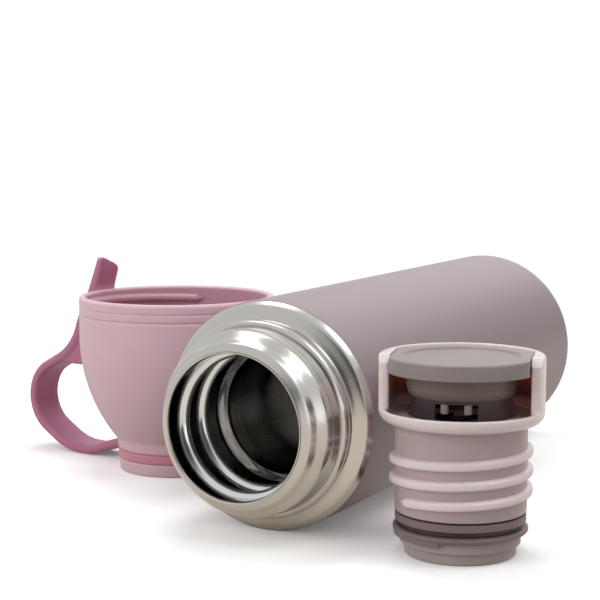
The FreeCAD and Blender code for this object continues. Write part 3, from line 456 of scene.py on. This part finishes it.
# painted light: the ridges are coloured much lighter than the barrel for the light that falls on them from above, and
# thin ridges let more light through
paintedLightRidge = mouldedPlastic("ridgePaintedLightPlastic", "#efe0e1", "#e6d6d8", 0.3, depth=1.2, gloss=0.3)
# the inner dictionary places the painted glow and painted shade inside the collar
collarPink = mouldedPlastic(
    "collarPinkPlastic", "#efe1e0", "#e7d7d7", 0.22, depth=2.6, gloss=0.7,
    inner={"radius": (22.9, 22.5), "low": (42.4, 43.9), "high": (53.2, 52.2), "front": (-6.0, -4.6),
           "bright": (45.5, 48.5), "colour": "#ffb26e", "shade": "#b98a82"})
# painted shade: the boss under the button's disc is painted darker
buttonMauve = mouldedPlastic(
    "buttonMauvePlastic", "#938887", "#8a7e7d", 0.36,
    band={"centre": stopperCentre, "radius": 18.0, "low": 0.0, "high": 52.4, "colour": "#756863"})
pinMauve = mouldedPlastic("pinMauvePlastic", "#8c8180", "#847978", 0.36)
capMauve = mouldedPlastic("capMauvePlastic", "#b0a1a2", "#a79798", 0.36)
# painted shade: the sleeve is coloured near black for the shade under the button, with a faint painted glow
paintedShadeSleeve = mouldedPlastic("sleevePaintedShadePlastic", "#1c1516", "#181112", 0.45, glow="#24181a")
# painted shade: the packing ring's groove is painted dark
softMauve = mouldedPlastic(
    "mauveSilicone", "#827173", "#79686a", 0.42,
    band={"centre": stopperCentre, "radius": 18.4, "low": 7.6, "high": 10.2, "colour": "#3f3335"})
# painted light: the handle's ring under the bowl is painted a lighter rose
handleRose = mouldedPlastic(
    "handleRosePlastic", "#bf7a99", "#b57090", 0.46, depth=1.2,
    band={"centre": cupCentre, "radius": 22.4, "low": 0.0, "high": 12.0, "colour": "#d48fa0"})
print("materials made")


# bottle; depths are counted from the lip
shell = {"radius": 35.0, "wall": 0.6, "paintEdge": 22.4, "paintRound": 0.25, "length": 209.0, "baseRound": 2.0,
         "ledge": 5.0, "ledgeRound": 0.2, "segments": 256, "runStep": 4.0}
outer, wall, base = shell["radius"], shell["wall"], -shell["length"]
shellCorners = [
    (outer, -shell["paintEdge"], shell["paintRound"]), (outer, base, shell["baseRound"]),
    (outer - shell["ledge"], base, shell["ledgeRound"]), (outer - shell["ledge"], base + wall),
    (outer - wall, base + wall, shell["baseRound"] - wall), (outer - wall, -shell["paintEdge"])]
shellMesh = latheMesh("paintedShell", shellCorners, place["bottle"], shell["segments"], shell["runStep"])
newPiece("paintedShell", shellMesh, shellPaint, "bottle", replaced=("outer_shell",))

# each corner of the neck's outside is (radius, depth, rounding)
neck = {"lip": (22.3, 0.0, 0.15), "bevel": (24.5, 1.8, 1.6), "hollow": (25.5, 4.0, 3.0), "ridge": (27.7, 7.0, 2.0),
        "barrelEnd": (28.1, 9.4, 0.6), "step": (27.8, 10.2, 0.6), "bead": (28.8, 15.4, 3.0), "root": (29.4, 19.0, 0.4),
        "shoulder": (30.4, 19.6, 0.5), "bulge": (33.4, 20.4, 2.4), "paint": (34.75, 22.4, 0.0)}
neckSheet = {"wall": 0.6, "drop": 0.1, "edge": 0.3, "segments": 256, "runStep": 1.0}
neckOuter = [(radius, -depth, rounding) for radius, depth, rounding in neck.values()]
neckInner = [(corner[0] - neckSheet["wall"], corner[1] - neckSheet["drop"]) for corner in neckOuter[1:-1]]
neckCorners = neckOuter + [(neck["paint"][0] - neckSheet["edge"], -neck["paint"][1])]
neckCorners += neckInner[::-1] + [(neck["lip"][0], -neckSheet["wall"])]
neckMesh = latheMesh("neckCollar", neckCorners, place["bottle"], neckSheet["segments"], neckSheet["runStep"])
newPiece("neckCollar", neckMesh, neckSteel, "bottle", replaced=("neck_collar",))

vessel = {"mouth": 21.6, "mouthTop": 1.5, "lip": 21.8, "lipRound": 0.35, "lipLand": 0.45, "lipFoot": 1.0,
          "flareEnd": 2.3, "seatStart": 29.3, "seat": (19.3, 32.0, 38.6), "body": (31.8, 50.6), "end": 193.0,
          "wall": 0.6, "outerRounds": (1.0, 1.0, 1.5, 4.0), "innerRounds": (4.6, 1.2, 1.2, 1.2, 1.0),
          "segments": 256, "runStep": 1.5}
seatRadius, seatTop, seatEnd = vessel["seat"]
bodyRadius, bodyTop = vessel["body"]
lip, mouth, wall = vessel["lip"], vessel["mouth"], vessel["wall"]
outside, inside = vessel["outerRounds"], vessel["innerRounds"]
vesselCorners = [
    (lip, 0.0, vessel["lipRound"]), (lip + vessel["lipLand"], 0.0), (lip + vessel["lipLand"], -vessel["lipFoot"]),
    (mouth + wall, -vessel["flareEnd"]), (mouth + wall, -vessel["seatStart"] - wall, outside[0]),
    (seatRadius + wall, -seatTop - wall, outside[1]), (seatRadius + wall, -seatEnd + wall, outside[2]),
    (bodyRadius + wall, -bodyTop + wall, outside[3]), (bodyRadius + wall, -vessel["end"]),
    (bodyRadius, -vessel["end"]), (bodyRadius, -bodyTop, inside[0]), (seatRadius, -seatEnd, inside[1]),
    (seatRadius, -seatTop, inside[2]), (mouth, -vessel["seatStart"], inside[3]),
    (mouth, -vessel["mouthTop"], inside[4])]
vesselMesh = latheMesh("innerVessel", vesselCorners, place["bottle"], vessel["segments"], vessel["runStep"])
newPiece("innerVessel", vesselMesh, linerSteel, "bottle", replaced=("inner_vessel",))

# the beads in the mouth stand inwards, so they rise and sink the other way
mouthBead = {"radius": mouth, "pitch": 5.6, "turns": 0.97, "angle": math.radians(5.0), "halfWidth": 2.1, "rise": -1.7,
             "sink": -0.3, "runOut": 0.06, "squareness": 2.6, "wire": False}
mouthBeadDepths = (9.0, 20.2)
for number, depth in enumerate(mouthBeadDepths, 1):
    mouthBead["height"] = -depth - mouthBead["pitch"] * mouthBead["turns"] / 2
    beadMesh = woundMesh(f"mouthBead{number}", mouthBead, beadSteel, place["bottle"])
    newPiece(f"mouthBead{number}", beadMesh, beadSteel, "bottle")

neckBead = {"radius": neck["bead"][0], "pitch": 4.5, "turns": 0.97, "angle": math.radians(-150.0), "halfWidth": 2.1,
            "rise": 1.2, "sink": 0.6, "runOut": 0.06, "squareness": 2.6, "wire": False}
neckBead["height"] = -neck["bead"][1] - neckBead["pitch"] / 2
beadMesh = woundMesh("neckBead", neckBead, neckSteel, place["bottle"])
newPiece("neckBead", beadMesh, neckSteel, "bottle")
print("bottle made")


# stopper; heights are counted from the floor
barrel = {"radius": 18.9, "wall": 2.5, "foot": 12.7, "footRound": 0.5, "top": 38.0}
barrelInner = barrel["radius"] - barrel["wall"]
barrelCorners = [(barrel["radius"], barrel["foot"], barrel["footRound"]), (barrel["radius"], barrel["top"]),
                 (barrelInner, barrel["top"]), (barrelInner, barrel["foot"])]
barrelMesh = latheMesh("stopperBarrel", barrelCorners, place["stopper"])
newPiece("stopperBarrel", barrelMesh, palePink, "stopper", replaced=("stopper_body",))

thread = {"radius": barrel["radius"], "pitch": 5.6, "turns": 2.6, "angle": math.radians(-145.0), "height": 16.6,
          "halfWidth": 1.45, "rise": 1.6, "sink": 0.4, "runOut": 0.012, "squareness": 4.5, "wire": False}
threadMesh = woundMesh("stopperThread", thread, paintedLightRidge, place["stopper"])
newPiece("stopperThread", threadMesh, paintedLightRidge, "stopper")

collar = {"front": -6.6, "top": 57.6, "brow": 2.6, "edgeReach": 0.3, "voxel": 0.42, "smoothing": 6}
intoStopper = place["stopper"].inverted()


def slopeBrow(point):
    # cuts the top front edge of each post to a slope with a crisp lower edge
    local = (intoStopper @ point) / mm
    edge = collar["top"] - collar["brow"]
    inFront = local.y - collar["front"]
    if abs(inFront) < collar["edgeReach"] and abs(local.z - edge) < collar["voxel"] / 2:
        local.z = edge
    over = local.z - edge - inFront
    if over > 0 and abs(inFront) < collar["brow"]:
        local.y += over / 2
        local.z -= over / 2
    return place["stopper"] @ (local * mm)


collarMesh = softenedMesh("pourCollar", "pour_collar", collar, slopeBrow)
newPiece("pourCollar", collarMesh, collarPink, "stopper", meshing["softAngle"],
         replaced=("pour_collar",))

button = {"top": 57.1, "wall": 4.6, "disc": 21.7, "discRound": 0.8, "flat": 19.7, "dish": 17.0, "dishDepth": 0.6,
          "dishRound": 0.5, "edge": 0.4, "boss": 15.7, "bossFoot": 45.1, "bossRound": 3.5, "bore": 9.3,
          "ceiling": 51.0}
dishFloor, discFoot = button["top"] - button["dishDepth"], button["top"] - button["wall"]
buttonCorners = [
    (0.0, dishFloor), (button["dish"] - button["dishDepth"], dishFloor, button["dishRound"]),
    (button["dish"], button["top"], button["edge"]), (button["disc"], button["top"], button["discRound"]),
    (button["disc"], discFoot, button["edge"]), (button["boss"], discFoot, button["edge"]),
    (button["boss"], button["bossFoot"], button["bossRound"]), (button["bore"], button["bossFoot"]),
    (button["bore"], button["ceiling"]), (0.0, button["ceiling"])]


def flatSides(local):
    local.x = max(-button["flat"], min(button["flat"], local.x))
    return local


buttonMesh = latheMesh("pushButton", buttonCorners, place["button"], shape=flatSides)
newPiece("pushButton", buttonMesh, buttonMauve, "button", replaced=("push_button",))

packing = {"voxel": 0.22, "smoothing": 1}
packingMesh = softenedMesh("packingRing", "packing_ring", packing)
newPiece("packingRing", packingMesh, softMauve, "stopper", meshing["softAngle"],
         replaced=("packing_ring",))

spring = {"radius": 7.2, "wire": 0.6, "turns": 8, "foot": 25.3, "top": 50.2}
coil = {"radius": spring["radius"], "pitch": (spring["top"] - spring["foot"]) / spring["turns"],
        "turns": spring["turns"], "angle": 0.0, "height": spring["foot"], "halfWidth": spring["wire"], "rise": 0.0,
        "sink": 0.0, "runOut": 0.0001, "squareness": 2.0, "wire": True}
coilMesh = woundMesh("returnSpring", coil, springSteel, place["stopper"])
springPiece = newPiece("returnSpring", coilMesh, springSteel, "stopper", replaced=("return_spring",))
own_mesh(springPiece)
print("stopper made")


# cup; the two ring lines are (drop below the rim, depth, width)
cup = {"radius": 34.6, "height": 62.0, "turnHeight": 47.6, "foot": (22.0, 11.6), "neck": 21.3, "neckHeight": 7.8,
       "neckRound": 0.9, "wall": 2.6, "floor": 2.8, "rimRound": 1.25, "groove": (6.4, 0.5, 1.2),
       "line": (3.5, 0.3, 0.9), "lineRounds": (0.2, 0.3), "threadDrop": 4.6, "segments": 224, "runStep": 1.5}


def bowlBend(radius, kneeRadius, kneeHeight):
    across = radius - kneeRadius
    return (across ** 2 + (cup["turnHeight"] - kneeHeight) ** 2) / (2 * across)


def bowlArc(radius, kneeRadius, kneeHeight, steps=24):
    # the bowl's side, from its knee up to the upright wall
    drop = cup["turnHeight"] - kneeHeight
    bend = bowlBend(radius, kneeRadius, kneeHeight)
    heights = [kneeHeight + drop * step / steps for step in range(steps + 1)]
    return [(radius - bend + math.sqrt(bend ** 2 - (cup["turnHeight"] - height) ** 2), height) for height in heights]


def ringLine(drop, depth, width):
    middle = cup["height"] - drop
    edge, bottom = cup["lineRounds"]
    return [(cup["radius"], middle - width / 2, edge), (cup["radius"] - depth, middle, bottom),
            (cup["radius"], middle + width / 2, edge)]


cupSide = (cup["radius"], bowlBend(cup["radius"], *cup["foot"]), cup["turnHeight"])
# painted shade: the inside of the bowl is painted a darker pink
cupPink = mouldedPlastic(
    "cupPinkPlastic", "#e2c2cb", "#dab9c3", 0.42, depth=1.8,
    band={"centre": cupCentre, "radius": -1.2, "low": 9.4, "high": 61.4, "colour": "#c498a5", "side": cupSide})
innerFloor = cup["neckHeight"] + cup["floor"]
cupInner = cup["radius"] - cup["wall"]
bowlCorners = [(0.0, cup["neckHeight"]), (cup["neck"], cup["neckHeight"], cup["neckRound"])]
bowlCorners += bowlArc(cup["radius"], *cup["foot"])
bowlCorners += ringLine(*cup["groove"]) + ringLine(*cup["line"])
bowlCorners += [(radius, cup["height"], cup["rimRound"]) for radius in (cup["radius"], cupInner)]
bowlCorners += bowlArc(cupInner, cup["foot"][0] - cup["wall"], innerFloor)[::-1] + [(0.0, innerFloor)]
bowlMesh = latheMesh("cupBowl", bowlCorners, place["cup"], cup["segments"], cup["runStep"])
newPiece("cupBowl", bowlMesh, cupPink, "cup", replaced=("cup_bowl",))

cupThread = {"radius": cupInner, "pitch": 4.5, "turns": 0.55, "angle": math.radians(294.0),
             "height": cup["height"] - cup["threadDrop"], "halfWidth": 1.6, "rise": -2.0, "sink": -0.4,
             "runOut": 0.02, "squareness": 3.0, "wire": False}
cupThreadMesh = woundMesh("cupThread", cupThread, cupPink, place["cup"])
newPiece("cupThread", cupThreadMesh, cupPink, "cup")

foot = {"radius": 21.2, "taper": 0.6, "round": 0.8, "height": 4.4, "topRound": 0.4, "stem": 15.9, "stemTop": 7.8}
footCorners = [
    (0.0, 0.0), (foot["radius"] - foot["taper"], 0.0, foot["round"]),
    (foot["radius"], foot["height"], foot["topRound"]), (foot["stem"], foot["height"]),
    (foot["stem"], foot["stemTop"]), (0.0, foot["stemTop"])]
footMesh = latheMesh("cupFoot", footCorners, place["cup"])
newPiece("cupFoot", footMesh, cupPink, "cup", replaced=("cup_foot",))

handle = {"voxel": 0.55, "smoothing": 8, "width": 12.8, "taperFrom": 50.0, "tabTop": 74.6, "tipShare": 0.76,
          "tipRound": 2.4, "slant": 18.0, "lean": 1.2}
intoCup = place["cup"].inverted()


def shapeTab(point):
    # above the bowl's rim the strap leans in, narrows and ends in rounded corners
    local = (intoCup @ point) / mm
    rise = local.z - handle["taperFrom"]
    if rise <= 0 or local.x < 0:
        return point
    slope = math.tan(math.radians(handle["slant"]))
    toEnd = handle["tabTop"] - handle["width"] / 2 * slope - (local.z - local.y * slope)
    share = min(1.0, rise / (handle["tabTop"] - handle["taperFrom"]))
    narrowed = 1 - (1 - handle["tipShare"]) * share
    local.x -= handle["lean"] * math.sin(min(1.0, share * 2) * math.pi / 2) ** 2
    local.y *= narrowed
    across = handle["tipRound"] - (handle["width"] / 2 * narrowed - abs(local.y))
    along = handle["tipRound"] - toEnd
    reach = math.hypot(across, along)
    if across > 0 and along > 0 and reach > handle["tipRound"]:
        pull = 1 - handle["tipRound"] / reach
        local.y -= math.copysign(across * pull, local.y)
        local.z -= along * pull
    return place["cup"] @ (local * mm)


handleMesh = softenedMesh("cupHandle", "cup_handle", handle, shapeTab)
newPiece("cupHandle", handleMesh, handleRose, "cup", meshing["softAngle"], replaced=("cup_handle",))
print("cup made")


# the CAD pieces that stay get their finishes
finishes = {
    "vessel_bottom": linerSteel, "shell_bottom": plainSteel, "base_cover": shellPaint, "seal_plug": plainSteel,
    "getter_cup": plainSteel, "reflective_foil": plainSteel, "stem_guide": palePink, "valve_cap": capMauve,
    "plunger_sleeve": paintedShadeSleeve, "guide_pins": pinMauve, "valve_stem": palePink,
    "valve_disc": palePink, "valve_seal": softMauve}
for node, material in finishes.items():
    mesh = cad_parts[node].data
    mesh.materials.clear()
    mesh.materials.append(material)
print("finishes set")


# floor: white to the camera but for soft shadows near the pieces, warm to what mirrors it
stage = {"size": 3.0, "colour": "#a8a4a0", "roughness": 0.8, "specular": 0.1, "near": 0.30, "far": 0.60, "lift": 0.10,
         "paleness": 1.3, "clear": (0.105, 0.09, 0.0), "paintedLightEdges": (0.08, 0.035), "mirroredColour": "#f2eadd",
         "mirroredGlow": 0.62, "glowStrength": 0.85, "shadeDepth": 0.035, "shadeEdges": (0.012, 0.06)}
pureWhite = (1, 1, 1, 1)


def mixShaders(tree, factor, first, second):
    return addNode(tree, "ShaderNodeMixShader", {0: factor, 1: first, 2: second}).outputs[0]


def mirrorRays(tree, rays):
    return maths(tree, "MAXIMUM", rays["Is Glossy Ray"], rays["Is Transmission Ray"])


built = bmesh.new()
bmesh.ops.create_grid(built, x_segments=1, y_segments=1, size=stage["size"])
floorMesh = bpy.data.meshes.new("floor")
built.to_mesh(floorMesh)
built.free()
floor = bpy.data.objects.new("floor", floorMesh)
bpy.context.scene.collection.objects.link(floor)
floorPaper, tree, shader = newMaterial("palePaper")
setShader(tree, shader, {"Base Color": toLinear(stage["colour"]), "Roughness": stage["roughness"],
                         "Specular IOR Level": stage["specular"]})
ground = addNode(tree, "ShaderNodeTexCoord").outputs["Object"]
rays = addNode(tree, "ShaderNodeLightPath").outputs
away = fadeIn(tree, measure(tree, "LENGTH", ground), stage["near"], stage["far"], low=stage["lift"], smooth=True)
# painted light: behind the bottle on the right the floor is painted white over the shadow that falls there
clear = fadeIn(tree, measure(tree, "DISTANCE", ground, stage["clear"]), *stage["paintedLightEdges"], smooth=True)
seen = maths(tree, "MULTIPLY", maths(tree, "MAXIMUM", away, clear), rays["Is Camera Ray"])
# the floor close under the bottle's shoulder mirrors dark
under = (lipCentre.x, lipCentre.y + stage["shadeDepth"], 0.0)
glow = fadeIn(tree, measure(tree, "DISTANCE", ground, under), *stage["shadeEdges"], high=stage["mirroredGlow"])
warmColour = toLinear(stage["mirroredColour"])
warmGlow = addNode(tree, "ShaderNodeEmission", {"Color": warmColour, "Strength": stage["glowStrength"]})
warm = addNode(tree, "ShaderNodeBsdfDiffuse", {"Color": warmColour})
pale = addNode(tree, "ShaderNodeBsdfDiffuse", {"Color": [stage["paleness"]] * 3 + [1.0]})
white = addNode(tree, "ShaderNodeEmission", {"Color": pureWhite, "Strength": 1.0})
warmMix = mixShaders(tree, glow, warm.outputs[0], warmGlow.outputs[0])
mixed = mixShaders(tree, mirrorRays(tree, rays), shader.outputs[0], warmMix)
mixed = mixShaders(tree, rays["Is Camera Ray"], mixed, pale.outputs[0])
mixed = mixShaders(tree, seen, mixed, white.outputs[0])
output = next(node for node in tree.nodes if node.type == "OUTPUT_MATERIAL")
tree.links.new(mixed, output.inputs["Surface"])
floorMesh.materials.append(floorPaper)

lamps = {
    "windowLeft": {"at": (-0.16, 0.20, 0.92), "aim": (0.0, -0.05, 0.03), "size": 0.36, "watts": 2.3},
    "windowRight": {"at": (0.48, -0.05, 0.82), "aim": (0.0, -0.05, 0.03), "size": 0.36, "watts": 1.4},
    "leftSoftbox": {"at": (-0.52, -0.90, 0.45), "aim": (-0.04, -0.02, 0.03), "size": 0.55, "watts": 3.4},
}
for name, lamp in lamps.items():
    data = bpy.data.lights.new(name, "AREA")
    data.size = lamp["size"]
    data.energy = lamp["watts"]
    light = bpy.data.objects.new(name, data)
    light.location = lamp["at"]
    light.visible_glossy = False  # shiny pieces see the windows in the backdrop below
    light.rotation_euler = (Vector(lamp["aim"]) - Vector(lamp["at"])).to_track_quat("-Z", "Y").to_euler()
    bpy.context.scene.collection.objects.link(light)

# even soft light all round; shiny pieces see a white room with windows and a dark side behind the camera
world = bpy.data.worlds.new("studio")
bpy.context.scene.world = world
world.use_nodes = True
tree = world.node_tree
tree.nodes.clear()
studio = {"fill": 0.61, "room": 0.75, "dark": 0.08, "toCamera": (0.454, -0.891, 0.1), "edges": (0.72, 0.96)}
windows = (
    {"toward": (-0.30, 0.26, 0.92), "edges": (0.966, 0.988), "strength": 2.6},
    {"toward": (0.53, 0.05, 0.85), "edges": (0.966, 0.988), "strength": 2.6},
    {"toward": (0.89, -0.44, 0.05), "edges": (0.88, 0.97), "strength": 0.75},
    {"toward": (0.62, 0.78, 0.05), "edges": (0.80, 0.97), "strength": -0.45},
    {"toward": (-0.13, 0.89, 0.43), "edges": (0.94, 0.99), "strength": 0.42},
)
ahead = addNode(tree, "ShaderNodeTexCoord").outputs["Generated"]
facing = measure(tree, "DOT_PRODUCT", ahead, studio["toCamera"])
level = fadeIn(tree, facing, *studio["edges"], studio["room"], studio["dark"], smooth=True)
for window in windows:
    facing = measure(tree, "DOT_PRODUCT", ahead, window["toward"])
    level = maths(tree, "ADD", level, fadeIn(tree, facing, *window["edges"], high=window["strength"], smooth=True))
rays = addNode(tree, "ShaderNodeLightPath").outputs
fill, room, backdrop = (
    addNode(tree, "ShaderNodeBackground", {"Color": pureWhite, "Strength": strength}).outputs[0]
    for strength in (studio["fill"], level, 1.0))
mixed = mixShaders(tree, mirrorRays(tree, rays), fill, room)
mixed = mixShaders(tree, rays["Is Camera Ray"], mixed, backdrop)
addNode(tree, "ShaderNodeOutputWorld", {"Surface": mixed})
print("stage lit")
